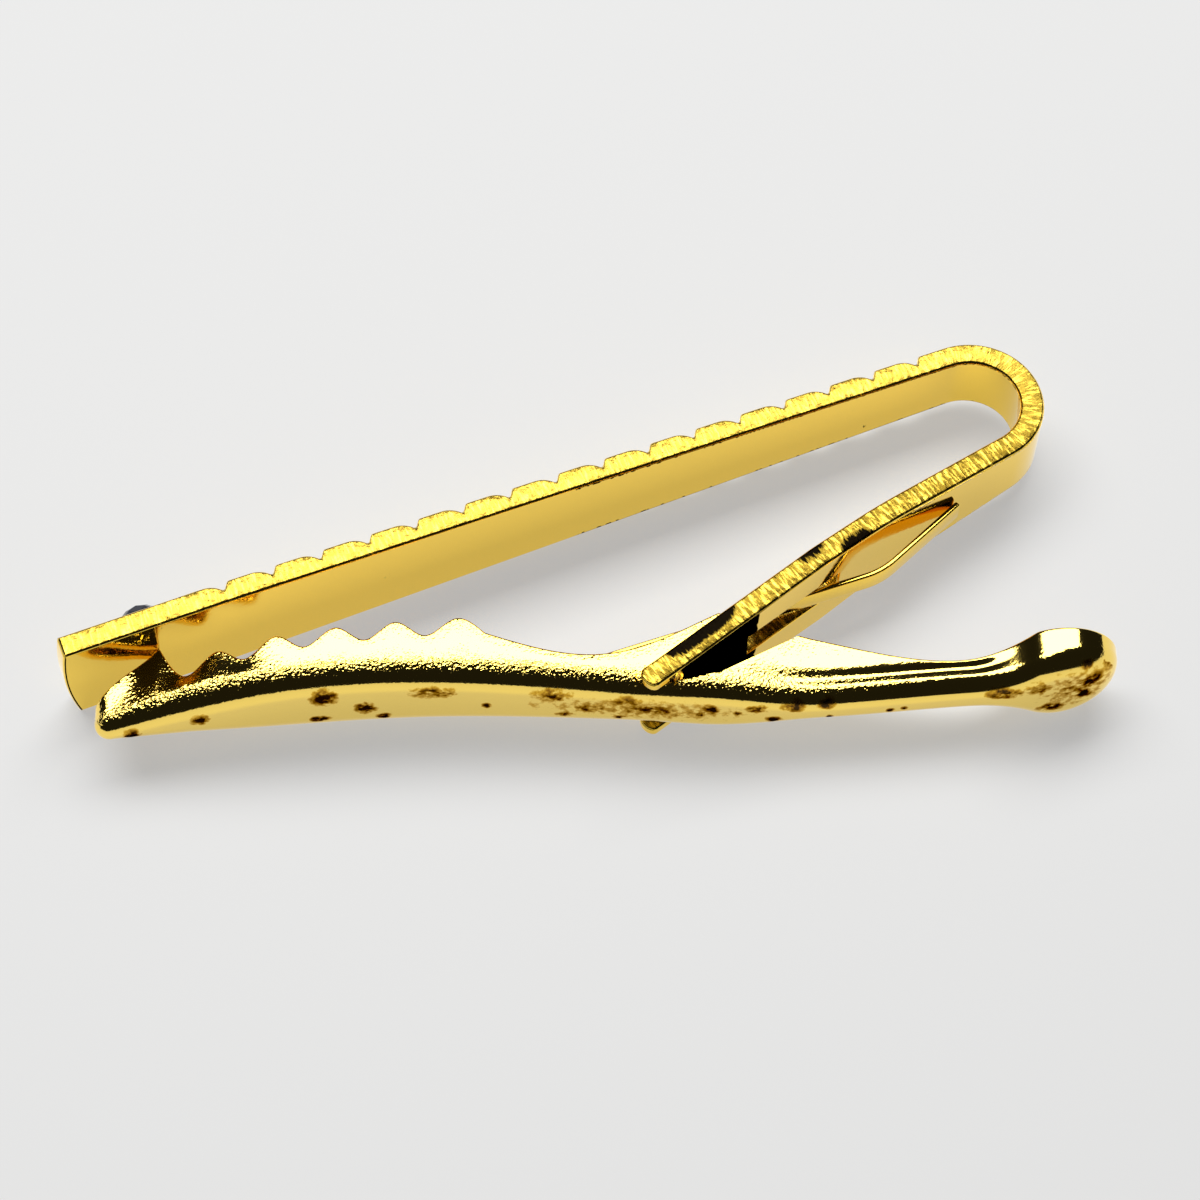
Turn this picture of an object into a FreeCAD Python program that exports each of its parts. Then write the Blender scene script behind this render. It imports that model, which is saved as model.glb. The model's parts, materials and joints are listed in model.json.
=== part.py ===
"""Tie clip: a bent front strip with a set stone, and a sprung toothed lever that rocks on its arm's end.

Frame: +X runs along the front bar from the stone towards the bend, +Y points out of the decorated front
face, +Z is up across the strip's width. The origin lies under the stone, in the middle of the bar's lower
cut edge. Every piece is drawn about the strip's middle plane and then raised by half of the strip's width.
"""
import FreeCAD, Part
import math
import os

from FreeCAD import Placement, Rotation, Vector

doc = FreeCAD.newDocument("tie_clip")
sheet = doc.addObject("Spreadsheet::Sheet", "Sizes")

# Driving sizes, in millimetres and degrees
SIZES = [
    ("strip_gauge", 1.2),
    ("panel_width", 5.6),
    ("panel_reach", 4.5),
    ("panel_length", 8.7),
    ("end_bow_depth", 0.3),
    ("bar_run", 43.4),
    ("bend_width", 3.6),
    ("bend_radius", 2.45),
    ("arm_splay", 12.5),
    ("arm_sweep", 4.1),
    ("arm_sweep_radius", 40.0),
    ("arm_first_run", 6.7),
    ("arm_last_run", 12.3),
    ("arm_width", 5.6),
    ("arm_flare_at", 9.5),
    ("prong_reach", 1.6),
    ("prong_width", 0.55),
    ("prong_crown", 0.25),
    ("slot_start", 4.6),
    ("slot_end", 10.4),
    ("scallop_pitch", 2.5),
    ("scallop_depth", 0.5),
    ("scallop_fall_length", 1.0),
    ("scallop_rise_length", 0.3),
    ("scallop_count", 15),
    ("stone_radius", 1.6),
    ("stone_table_radius", 0.75),
    ("stone_crown", 0.95),
    ("stone_girdle", 0.15),
    ("stone_pavilion", 0.25),
    ("stone_gap", 0.03),
    ("collet_wall", 0.22),
    ("collet_floor", 0.15),
    ("collet_lip", 0.1),
    ("lever_gauge", 0.5),
    ("lever_corner", 1.0),
    ("nose_corner", 0.6),
    ("jaw_reach", 25.05),
    ("jaw_height", 1.1),
    ("jaw_slope", 0.185),
    ("jaw_bow_radius", 110.0),
    ("jaw_half_width", 2.42),
    ("fang_rise", 1.16),
    ("tooth_pitch", 2.92),
    ("tooth_depth", 0.85),
    ("tooth_count", 6),
    ("nose_length", 3.05),
    ("nose_round_length", 0.9),
    ("nose_drop", 2.5),
    ("nose_height", 1.35),
    ("nose_half_width", 0.9),
    ("cheek_setback", 4.55),
    ("cheek_drop", 1.17),
    ("cheek_half_width", 2.2),
    ("belly_at", 12.5),
    ("belly_drop", 0.62),
    ("throat_at", 3.4),
    ("throat_height", 0.92),
    ("hump_at", 2.5),
    ("hump_height", 3.2),
    ("waist_run", 1.6),
    ("waist_half_width", 1.9),
    ("dip_at", 6.0),
    ("dip_drop", 1.6),
    ("ramp_at", 8.1),
    ("ramp_height", 1.77),
    ("neck_start", 7.5),
    ("neck_at", 14.6),
    ("neck_drop", 1.05),
    ("neck_height", 0.76),
    ("neck_half_width", 1.13),
    ("neck_fillet", 5.0),
    ("pad_at", 19.4),
    ("pad_radius", 2.75),
    ("pad_drop", 0.68),
    ("pad_tail_lift", 0.05),
    ("pad_rim", 1.55),
    ("open_angle", 12.0),
    ("open_spare", 2.0),
    ("seat_gap", 0.05),
    ("web_gap", 0.2),
    ("side_gap", 0.12),
    ("jaw_gap", 0.08),
    ("notch_floor", 2.07),
    ("notch_room", 1.4),
    ("spring_gauge", 0.3),
    ("spring_width", 1.2),
    ("spring_gap", 0.05),
    ("spring_side_gap", 0.2),
    ("spring_tip_run", 2.9),
    ("spring_knee_at", 12.4),
    ("spring_knee_lift", 1.1),
    ("spring_knee_ease", 0.8),
    ("spring_foot_at", 7.5),
    ("spring_foot_length", 3.8),
]

for row, (alias, value) in enumerate(SIZES, start=1):
    sheet.set(f"A{row}", alias)
    sheet.set(f"B{row}", str(value))
    sheet.setAlias(f"B{row}", alias)
doc.recompute()


def size(alias):
    """A driving size, read back from the sheet."""
    return float(sheet.get(alias))


def polar(radius, degrees):
    """A point in the plan at a distance and in a direction from the origin."""
    angle = math.radians(degrees)
    return Vector(radius * math.cos(angle), radius * math.sin(angle), 0)


def lines(*points):
    """Straight runs from point to point, left open at the end."""
    return [Part.LineSegment(a, b) for a, b in zip(points, points[1:])]


def spline(points):
    """A smooth curve through the points."""
    curve = Part.BSplineCurve()
    curve.interpolate(points)
    return curve


def mirrored(points):
    """The same points on the other side of the local X axis, in reverse order."""
    return [Vector(p.x, -p.y, 0) for p in reversed(points)]


UP = Vector(0, 0, 1)
OUT = Vector(0, 1, 0)
# An outline seen from above lies in X and Y; one seen from the front lies in X and Z
FROM_ABOVE = Rotation()
FROM_FRONT = Rotation(Vector(1, 0, 0), 90)


def outline(name, curves, rotation=FROM_ABOVE):
    """A closed sketch made of the given curves."""
    sketch = doc.addObject("Sketcher::SketchObject", name)
    sketch.addGeometry(curves)
    sketch.Placement = Placement(Vector(), rotation)
    return sketch


def extrude(name, sketch, direction, length):
    """A sketch carried to both sides of its plane, over a total length given as an expression."""
    solid = doc.addObject("Part::Extrusion", name)
    solid.Base = sketch
    solid.DirMode = "Custom"
    solid.Dir = direction
    solid.Symmetric = True
    solid.Solid = True
    solid.setExpression("LengthFwd", length)
    return solid


def combine(kind, name, shapes):
    """A fusion or an intersection of several solids."""
    solid = doc.addObject(kind, name)
    solid.Shapes = shapes
    solid.Refine = True
    return solid


def cut(name, base, tool):
    solid = doc.addObject("Part::Cut", name)
    solid.Base = base
    solid.Tool = tool
    solid.Refine = True
    return solid


# Where the strip's middle line runs, from above: bar, bend, first straight, gentle sweep, last straight
half_gauge = size("strip_gauge") / 2
bend_middle = size("bend_radius") + half_gauge
bend_axis = Vector(size("bar_run"), -bend_middle, 0)
first_heading = 180 + size("arm_splay")
last_heading = first_heading + size("arm_sweep")
arm_root = bend_axis + polar(bend_middle, size("arm_splay") - 90)
sweep_start = arm_root + polar(size("arm_first_run"), first_heading)
sweep_axis = sweep_start + polar(size("arm_sweep_radius"), first_heading + 90)
sweep_end = sweep_axis + polar(size("arm_sweep_radius"), last_heading - 90)
pivot = sweep_end + polar(size("arm_last_run"), last_heading)


def beside_arm(distance, offset):
    """A point by the arm's straight end: so far from the pivot along it, so far off it towards the bar."""
    return pivot + polar(distance, last_heading + 180) + polar(offset, last_heading - 90)


def jaw_level(distance):
    """Height of the bowed line that the tooth peaks lie on, so far from the first tooth."""
    fall = distance ** 2 / (2 * size("jaw_bow_radius"))
    return size("jaw_height") + size("jaw_slope") * distance - fall


def jaw_points():
    """Peaks and valleys of the toothed jaw in the lever's own frame, from the fang that meets the bar."""
    start = -size("jaw_reach")
    points = []
    for number in range(int(size("tooth_count"))):
        peak_at = number * size("tooth_pitch")
        valley_at = peak_at + size("tooth_pitch") / 2
        points.append(Vector(start + peak_at, jaw_level(peak_at)))
        points.append(Vector(start + valley_at, jaw_level(valley_at) - size("tooth_depth")))
    points[0].y += size("fang_rise")
    return points


# The lever is turned about the pivot until the jaw's highest point stops just short of the bar
jaw_stop = -half_gauge - size("jaw_gap")
jaw_line = spline(jaw_points()).toShape().discretize(300)
short_turn, far_turn = 0, -90
for halving in range(40):
    lever_turn = (short_turn + far_turn) / 2
    lever_place = Placement(pivot, Rotation(UP, lever_turn))
    if max(lever_place.multVec(point).y for point in jaw_line) < jaw_stop:
        short_turn = lever_turn
    else:
        far_turn = lever_turn
arm_in_lever = last_heading - 180 - lever_turn


def make_bar():
    """The straight front bar, scalloped on its front face, tapered in width and bowed at its free end."""
    front = half_gauge
    depth = size("scallop_depth")
    fall = size("scallop_fall_length")
    fall_radius = (fall ** 2 + depth ** 2) / (2 * depth)
    fall_angle = math.degrees(math.asin(fall / fall_radius))
    left = -size("panel_reach")
    first = left + size("panel_length")
    right = size("bar_run")
    crest = [Vector(left, front)]
    curves = []
    for number in range(int(size("scallop_count")) + 1):
        notch = Vector(first + number * size("scallop_pitch"), front - depth)
        crown_end = Vector(notch.x - fall, front)
        crown_fall = crown_end - Vector(0, fall_radius) + polar(fall_radius, 90 - fall_angle / 2)
        shoulder = Vector(notch.x + size("scallop_rise_length"), front)
        crest += [crown_end, shoulder]
        curves.append(Part.Arc(crown_end, crown_fall, notch))
        curves += lines(notch, shoulder)
    crest.append(Vector(right, front))
    for start, end in zip(crest[0::2], crest[1::2]):
        curves += lines(start, end)
    curves += lines(crest[-1], Vector(right, -front), Vector(left, -front), crest[0])
    side = extrude("bar_side", outline("bar_side_outline", curves), UP, "Sizes.panel_width")

    wide = size("panel_width") / 2
    end = left + size("end_bow_depth")
    upper = [Vector(end, wide), Vector(first, wide), Vector(right, size("bend_width") / 2)]
    edges = lines(*upper, *mirrored(upper))
    edges.append(Part.Arc(Vector(end, -wide), Vector(left, 0), Vector(end, wide)))
    plan_outline = outline("bar_plan_outline", edges, FROM_FRONT)
    plan = extrude("bar_plan", plan_outline, OUT, "Sizes.strip_gauge * 2")
    return combine("Part::MultiCommon", "bar", [side, plan])


def make_bend():
    """The round bend, of one width all the way."""
    inner, outer = size("bend_radius"), size("bend_radius") + size("strip_gauge")
    start, end = size("arm_splay") - 90, 90
    middle = (start + end) / 2
    curves = [
        Part.Arc(*[bend_axis + polar(inner, angle) for angle in (start, middle, end)]),
        Part.Arc(*[bend_axis + polar(outer, angle) for angle in (start, middle, end)]),
    ]
    for angle in (start, end):
        curves += lines(bend_axis + polar(inner, angle), bend_axis + polar(outer, angle))
    return extrude("bend", outline("bend_outline", curves), UP, "Sizes.bend_width")


def arm_side(distance_from_middle):
    """One face of the arm, from its root to the pivot, so far off its middle line towards the bar."""
    first_off = polar(distance_from_middle, first_heading - 90)
    last_off = polar(distance_from_middle, last_heading - 90)
    middle_heading = (first_heading + last_heading) / 2 - 90
    sweep_middle = sweep_axis + polar(size("arm_sweep_radius") + distance_from_middle, middle_heading)
    curves = lines(arm_root + first_off, sweep_start + first_off)
    curves.append(Part.Arc(sweep_start + first_off, sweep_middle, sweep_end + last_off))
    curves += lines(sweep_end + last_off, pivot + last_off)
    return curves


def make_arm():
    """The arm behind the bar: flared where the lever sits, slotted for the spring, round at its end."""
    curves = arm_side(half_gauge) + arm_side(-half_gauge)
    root_off = polar(half_gauge, first_heading - 90)
    curves += lines(arm_root + root_off, arm_root - root_off)
    seat = [beside_arm(0, half_gauge), beside_arm(-half_gauge, 0), beside_arm(0, -half_gauge)]
    curves.append(Part.Arc(*seat))
    side = extrude("arm_side", outline("arm_side_outline", curves), UP, "Sizes.arm_width")

    seat_end = pivot.x - size("strip_gauge")
    tip_half = size("waist_half_width") + size("side_gap") + size("prong_width")
    upper = [Vector(seat_end, tip_half), Vector(beside_arm(0, 0).x, tip_half)]
    upper += [Vector(beside_arm(size("arm_flare_at"), 0).x, size("arm_width") / 2)]
    upper += [Vector(arm_root.x + half_gauge, size("bend_width") / 2)]
    corners = upper + mirrored(upper)
    plan_outline = outline("arm_plan_outline", lines(*corners, corners[0]), FROM_FRONT)
    plan = extrude("arm_plan", plan_outline, OUT, "Sizes.bar_run")
    blank = combine("Part::MultiCommon", "arm_blank", [side, plan])

    through = size("strip_gauge")
    corners = [beside_arm(size("slot_start"), through), beside_arm(size("slot_end"), through)]
    corners += [beside_arm(size("slot_end"), -through), beside_arm(size("slot_start"), -through)]
    slot_outline = outline("slot_outline", lines(*corners, corners[0]))
    slot = extrude("slot", slot_outline, UP, "Sizes.spring_width + 2 * Sizes.spring_side_gap")
    return cut("arm", blank, slot)


def make_prongs():
    """The two prongs of the arm's tip, which straddle the lever's waist, with slightly crowned ends."""
    tip = -size("prong_reach")
    crown = tip + size("prong_crown")
    upper, lower = beside_arm(crown, half_gauge), beside_arm(crown, -half_gauge)
    curves = lines(lower, beside_arm(0, -half_gauge), beside_arm(0, half_gauge), upper)
    curves.append(Part.Arc(upper, beside_arm(tip, 0), lower))
    prong_outline = outline("prong_outline", curves)
    gap = "2 * (Sizes.waist_half_width + Sizes.side_gap)"
    whole = extrude("prong_blank", prong_outline, UP, gap + " + 2 * Sizes.prong_width")
    between = extrude("prong_gap", prong_outline, UP, gap)
    return cut("prongs", whole, between)


def make_front_strip():
    lengths = [make_bar(), make_bend(), make_arm(), make_prongs()]
    strip = combine("Part::MultiFuse", "front_strip", lengths)
    strip.setExpression("Placement.Base.z", "Sizes.panel_width / 2")
    return strip


def plane(body, role):
    """One of a body's own origin planes or axes."""
    return [item for item in body.Origin.OriginFeatures if item.Role == role][0]


def make_collet():
    """The round cup on the front face that holds the stone."""
    bore = size("stone_radius") + size("stone_gap")
    rim = bore + size("collet_wall")
    floor = size("collet_floor")
    height = floor + size("stone_pavilion") + size("collet_lip")
    body = doc.addObject("PartDesign::Body", "stone_collet")
    sketch = body.newObject("Sketcher::SketchObject", "collet_profile")
    sketch.AttachmentSupport = (plane(body, "XZ_Plane"), [""])
    sketch.MapMode = "FlatFace"
    corners = [Vector(0, 0), Vector(rim, 0), Vector(rim, height), Vector(bore, height)]
    corners += [Vector(bore, floor), Vector(0, floor)]
    sketch.addGeometry(lines(*corners, corners[0]))
    turned = body.newObject("PartDesign::Revolution", "collet_turned")
    turned.Profile = sketch
    turned.ReferenceAxis = (sketch, ["V_Axis"])
    turned.Angle = 360
    return body


def make_stone():
    """A flat-backed round stone with an eight-sided crown, seated on the collet's floor."""
    sides = 8
    back = doc.addObject("Part::Cone", "stone_back")
    back.setExpression("Radius1", "Sizes.stone_radius - Sizes.stone_pavilion")
    back.setExpression("Radius2", "Sizes.stone_radius")
    back.setExpression("Height", "Sizes.stone_pavilion")
    back.setExpression("Placement.Base.z", "Sizes.collet_floor")
    crown_foot = doc.addObject("Part::RegularPolygon", "crown_foot")
    crown_foot.Polygon = sides
    crown_foot.setExpression("Circumradius", f"Sizes.stone_radius / cos(180 deg / {sides})")
    girdle_foot = "Sizes.collet_floor + Sizes.stone_pavilion"
    crown_foot.setExpression("Placement.Base.z", girdle_foot)
    crown_middle = doc.addObject("Part::RegularPolygon", "crown_middle")
    crown_middle.Polygon = sides
    crown_middle.setExpression("Circumradius", "crown_foot.Circumradius")
    crown_middle.setExpression("Placement.Base.z", girdle_foot + " + Sizes.stone_girdle")
    table = doc.addObject("Part::RegularPolygon", "stone_table")
    table.Polygon = sides
    table.setExpression("Circumradius", "Sizes.stone_table_radius")
    table.setExpression("Placement.Base.z", girdle_foot + " + Sizes.stone_girdle + Sizes.stone_crown")
    crown = doc.addObject("Part::Loft", "stone_crown_facets")
    crown.Sections = [crown_foot, crown_middle, table]
    crown.Solid = True
    crown.Ruled = True
    round_edge = doc.addObject("Part::Cylinder", "stone_round")
    round_edge.setExpression("Radius", "Sizes.stone_radius")
    round_edge.setExpression("Height", "Sizes.stone_girdle + Sizes.stone_crown")
    round_edge.setExpression("Placement.Base.z", girdle_foot)
    front = combine("Part::MultiCommon", "stone_front", [crown, round_edge])
    return combine("Part::MultiFuse", "stone", [back, front])


def stand_on_panel(piece):
    """Turns a piece drawn about +Z to face out of the panel, at the panel's middle height."""
    piece.Placement = Placement(Vector(0, half_gauge, 0), Rotation(Vector(1, 0, 0), -90))
    piece.setExpression("Placement.Base.z", "Sizes.panel_width / 2")
    return piece


def lever_back():
    """The line of the lever's back in its own frame: pivot at the origin, jaw towards -X."""
    over = size("lever_gauge")
    depth = half_gauge + size("seat_gap") + size("web_gap") + size("lever_gauge")
    tail = size("pad_at") + size("pad_radius") + over
    return [
        Vector(-(size("jaw_reach") + size("nose_length") + over), -size("nose_drop")),
        Vector(size("cheek_setback") - size("jaw_reach"), -size("cheek_drop")),
        Vector(-size("belly_at"), -size("belly_drop")),
        Vector(0, -depth),
        Vector(size("dip_at"), -size("dip_drop")),
        Vector(size("neck_at"), -size("neck_drop")),
        Vector(size("pad_at"), -size("pad_drop")),
        Vector(tail, size("pad_tail_lift")),
    ]


def lever_side_outline():
    """The lever from the side: bowed back, toothed jaw, low throat, hump at the pivot, neck, raised pad."""
    back = lever_back()
    nose = Vector(back[0].x, back[0].y + size("nose_height"))
    jaw = jaw_points()
    throat = Vector(-size("throat_at"), size("throat_height"))
    hump = Vector(size("hump_at"), size("hump_height"))
    ramp = Vector(size("ramp_at"), size("ramp_height"))
    neck = Vector(size("neck_at"), size("neck_height"))
    rim = Vector(size("pad_at") - size("pad_radius") / 2, size("pad_rim"))
    rim_end = Vector(back[-1].x, size("pad_rim"))
    curves = [spline(back), spline(jaw), spline([jaw[-1], throat, hump]), spline([hump, ramp, neck, rim])]
    curves += lines(rim, rim_end, back[-1])
    curves += lines(jaw[0], nose, back[0])
    return curves


def lever_plan_outline(inset):
    """The lever seen on its back, drawn in by an inset: nose, broad jaw, waist, slim neck and round pad."""
    nose_end = -size("jaw_reach") - size("nose_length")
    nose_tip = Vector(nose_end + inset, 0)
    nose_side = Vector(nose_end + size("nose_round_length"), size("nose_half_width") - inset)
    cheek = Vector(size("cheek_setback") - size("jaw_reach"), size("cheek_half_width") - inset)
    broad = Vector(-size("belly_at"), size("jaw_half_width") - inset)
    waist = Vector(-size("waist_run"), size("waist_half_width") - inset)
    waist_end = Vector(size("waist_run"), waist.y)
    radius = size("pad_radius") - inset
    round_in = size("neck_fillet") + inset
    pad = Vector(size("pad_at"), 0)
    neck_half = size("neck_half_width") - inset
    to_fillet = math.sqrt((radius + round_in) ** 2 - (neck_half + round_in) ** 2)
    fillet_axis = Vector(pad.x - to_fillet, neck_half + round_in)
    neck_start = Vector(size("neck_start"), neck_half)
    neck_end = Vector(fillet_axis.x, neck_half)
    to_pad = pad - fillet_axis
    pad_start = fillet_axis + to_pad * (round_in / to_pad.Length)
    turn = math.degrees(math.atan2(to_pad.y, to_pad.x)) - 90
    fillet_middle = fillet_axis + polar(round_in, turn / 2)
    along = Vector(1, 0)
    curves = [Part.Arc(Vector(nose_side.x, -nose_side.y), nose_tip, nose_side)]
    curves.append(Part.Arc(Vector(pad_start.x, -pad_start.y), Vector(pad.x + radius, 0), pad_start))
    for side in (1, -1):
        jaw_edge = [Vector(p.x, side * p.y) for p in (nose_side, cheek, broad, waist)]
        neck_edge = [Vector(p.x, side * p.y) for p in (waist_end, neck_start)]
        fillet = [Vector(p.x, side * p.y) for p in (neck_end, fillet_middle, pad_start)]
        narrowing = Part.BSplineCurve()
        narrowing.interpolate(Points=neck_edge, InitialTangent=along, FinalTangent=along)
        curves += [spline(jaw_edge), narrowing, Part.Arc(*fillet)]
        curves += lines(jaw_edge[-1], neck_edge[0])
        curves += lines(neck_edge[-1], fillet[0])
    return curves


def notch_outline():
    """The notch in both walls where the arm comes in: a seat round the pivot, wide enough for the swing."""
    clear = half_gauge + size("seat_gap")
    shut = arm_in_lever
    swung = arm_in_lever - size("open_angle") - size("open_spare")
    middle = (shut + swung) / 2
    left, right = polar(clear, shut + 90), polar(clear, swung - 90)
    seat_middle = polar(clear, middle + 180)
    corner = polar(size("notch_floor"), middle) + polar(size("notch_room"), middle - 90)
    reach = 2 * size("hump_height") / math.sin(math.radians(swung))
    curves = [Part.Arc(left, seat_middle, right)]
    curves += lines(left, left + polar(reach, shut), corner + polar(reach, middle), corner, right)
    return curves


def back_edges(shape):
    """The edges between the lever's back and its walls, with their numbers."""
    backs = []
    for face in shape.Faces:
        u0, u1, v0, v1 = face.ParameterRange
        if face.normalAt((u0 + u1) / 2, (v0 + v1) / 2).y < -0.7:
            backs += [edge.hashCode() for edge in face.Edges]
    return [(number, edge) for number, edge in enumerate(shape.Edges, start=1) if edge.hashCode() in backs]


def round_back(blank):
    """Rounds the corners between back and walls, by one radius at the narrow nose and another elsewhere."""
    jaw_start = -size("jaw_reach") - size("nose_length") + 2 * size("nose_round_length")
    rounded = doc.addObject("Part::Fillet", "lever_rounded")
    rounded.Base = blank
    corners = []
    for number, edge in back_edges(blank.Shape):
        ends = edge.valueAt(edge.FirstParameter), edge.valueAt(edge.LastParameter)
        radii = [size("nose_corner" if end.x < jaw_start else "lever_corner") for end in ends]
        corners.append((number, *radii))
    rounded.Edges = corners
    return rounded


def make_lever():
    """A pressed channel with a toothed jaw, notched over the arm's end, with a dished thumb pad."""
    wide = "2 * Sizes.pad_radius + 2 * Sizes.jaw_half_width"
    deep = "2 * Sizes.jaw_reach"
    gauge = size("lever_gauge")
    side = extrude("lever_side", outline("lever_side_outline", lever_side_outline()), UP, wide)
    plan_outline = outline("lever_plan_outline", lever_plan_outline(0), FROM_FRONT)
    plan = extrude("lever_plan", plan_outline, OUT, deep)
    blank = combine("Part::MultiCommon", "lever_blank", [side, plan])

    web = [p + Vector(0, gauge) for p in lever_back()]
    top = size("hump_height") + gauge
    hollow_curves = [spline(web)] + lines(web[-1], Vector(web[-1].x, top), Vector(web[0].x, top), web[0])
    hollow_side = extrude("hollow_side", outline("hollow_side_outline", hollow_curves), UP, wide)
    inset_outline = outline("hollow_plan_outline", lever_plan_outline(gauge), FROM_FRONT)
    hollow_plan = extrude("hollow_plan", inset_outline, OUT, deep)
    hollow = combine("Part::MultiCommon", "lever_hollow", [hollow_side, hollow_plan])
    doc.recompute()

    channel = cut("lever_channel", round_back(blank), hollow)
    notch = extrude("notch", outline("notch_outline", notch_outline()), UP, wide)
    lever = cut("lever", channel, notch)
    lever.Placement = lever_place
    lever.setExpression("Placement.Base.z", "Sizes.panel_width / 2")
    return lever


def ribbon(points, thickness):
    """Outline of a strip of even thickness along a line of points, mitred at its corners."""
    sides = ([], [])
    for number, point in enumerate(points):
        before = point - points[number - 1] if number else points[1] - point
        after = points[number + 1] - point if number + 1 < len(points) else before
        normals = [Vector(-way.y, way.x).normalize() for way in (before, after)]
        mitre = normals[0] + normals[1]
        offset = mitre * (thickness / mitre.dot(normals[0]) / 2)
        sides[0].append(point + offset)
        sides[1].append(point - offset)
    corners = sides[0] + sides[1][::-1]
    return lines(*corners, corners[0])


def make_leaf_spring():
    """The leaf that shuts the jaw: foot on the lever's web, through the slot, free end on the arm's back."""
    half = size("spring_gauge") / 2
    off_arm = half_gauge + size("spring_gap") + half
    tip_run = polar(size("spring_tip_run"), first_heading + 180)
    tip = sweep_start + tip_run + polar(off_arm, first_heading + 90)
    knee = beside_arm(size("spring_knee_at"), -(half_gauge + size("spring_knee_lift")))
    heel = -size("spring_foot_at")
    toe = heel - size("spring_foot_length")
    web = max(p.y for p in spline(lever_back()).toShape().discretize(200) if toe <= p.x <= heel)
    foot_height = web + size("lever_gauge") + size("spring_gap") + half
    foot = lever_place.multVec(Vector(heel, foot_height))
    foot_end = lever_place.multVec(Vector(toe, foot_height))
    ease = size("spring_knee_ease")
    to_tip, to_foot = (tip - knee).normalize(), (foot - knee).normalize()
    knee_in = knee + (to_tip + to_foot) * (ease / 4)
    points = [tip, knee + to_tip * ease, knee_in, knee + to_foot * ease, foot, foot_end]
    leaf_outline = outline("leaf_outline", ribbon(points, size("spring_gauge")))
    leaf = extrude("leaf_spring", leaf_outline, UP, "Sizes.spring_width")
    leaf.setExpression("Placement.Base.z", "Sizes.panel_width / 2")
    return leaf


PIECES = [
    make_front_strip(),
    stand_on_panel(make_collet()),
    stand_on_panel(make_stone()),
    make_lever(),
    make_leaf_spring(),
]
doc.recompute()

for item in doc.Objects:
    if "Invalid" in item.State or "Error" in item.State:
        raise RuntimeError(f"{item.Name} did not build: {item.State}")
for piece in PIECES:
    if piece.Shape.isNull() or not piece.Shape.isValid() or len(piece.Shape.Solids) != 1:
        raise RuntimeError(f"{piece.Label} is not one sound solid")

os.makedirs("parts", exist_ok=True)
for piece in PIECES:
    piece.Shape.exportStep(f"parts/{piece.Label}.step")
    print(piece.Label, round(piece.Shape.Volume, 3), piece.Shape.BoundBox)
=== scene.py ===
"""Looks of the tie clip: polished gold-plated strip, lever and spring, and a dark set stone.

Every piece is a surface worked out with numpy in millimetres and scaled to metres when its mesh is made.
In the strip's frame, +X runs along the bar from the stone, +Y out of the decorated face and +Z up across
the strip.
"""
import json
import math

import bmesh
import bpy
import numpy as np
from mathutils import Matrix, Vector


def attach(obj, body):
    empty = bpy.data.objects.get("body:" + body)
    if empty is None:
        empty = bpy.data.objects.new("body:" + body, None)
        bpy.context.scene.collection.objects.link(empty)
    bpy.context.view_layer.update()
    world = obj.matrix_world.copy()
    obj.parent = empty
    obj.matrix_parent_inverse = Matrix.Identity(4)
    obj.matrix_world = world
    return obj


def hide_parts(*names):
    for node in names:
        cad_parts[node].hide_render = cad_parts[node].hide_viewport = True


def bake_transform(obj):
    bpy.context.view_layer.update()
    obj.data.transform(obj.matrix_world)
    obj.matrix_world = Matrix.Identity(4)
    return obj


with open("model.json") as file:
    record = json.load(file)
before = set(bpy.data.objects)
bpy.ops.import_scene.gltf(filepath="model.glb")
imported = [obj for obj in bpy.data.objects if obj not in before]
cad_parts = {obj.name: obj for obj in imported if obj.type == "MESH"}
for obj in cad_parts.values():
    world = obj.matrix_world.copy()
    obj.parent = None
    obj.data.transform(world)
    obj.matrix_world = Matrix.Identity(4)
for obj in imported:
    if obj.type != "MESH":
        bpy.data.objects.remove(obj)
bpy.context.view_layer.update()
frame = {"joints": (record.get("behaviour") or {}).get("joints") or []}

MM = 0.001

# Sizes of the strip, as in the solid but for a fuller crown on the prongs
HALF_GAUGE = 0.6
PANEL_HALF = 2.8
PANEL_REACH = 4.5
PANEL_LENGTH = 8.7
END_BOW = 0.3
END_BOW_RUN = 3.0
BAR_RUN = 43.4
BEND_HALF = 1.8
BEND_RADIUS = 2.45
ARM_SPLAY = 12.5
ARM_SWEEP = 4.1
ARM_SWEEP_RADIUS = 40.0
ARM_FIRST_RUN = 6.7
ARM_LAST_RUN = 12.3
ARM_HALF = 2.8
ARM_FLARE_AT = 9.5
PRONG_REACH = 1.6
PRONG_WIDTH = 0.55
PRONG_CROWN = 0.42
SLOT_START = 4.6
SLOT_END = 10.4
SLOT_HALF = 0.8
SCALLOP_PITCH = 2.5
SCALLOP_DEPTH = 0.5
SCALLOP_FALL = 1.0
SCALLOP_RISE = 0.3
SCALLOP_COUNT = 15

# How finely the strip is drawn, and how its scallops and cut edges are softened
LINE_SAMPLES = 80001
BAR_STEP = 0.07
ARM_STEP = 0.16
RUN_DIGITS = 5
SAME_RUN = 1e-4
MARK_CLEARANCE = 0.1
SLOT_ROWS = 2
SLOT_SHARE_MOST = 0.5
FORK_ROWS = 4
FORK_SHARE_MOST = 0.8
RIM_SHARE = 0.94
END_STEPS = 12
SCALLOP_SAMPLE = 0.01
SOFTENING_SAMPLES = 5.0
SOFTENING_REACH = 16
CUT_ROUND = 0.14
CUT_ROUND_STEPS = 4
CUT_ANGLE = 50

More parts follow.
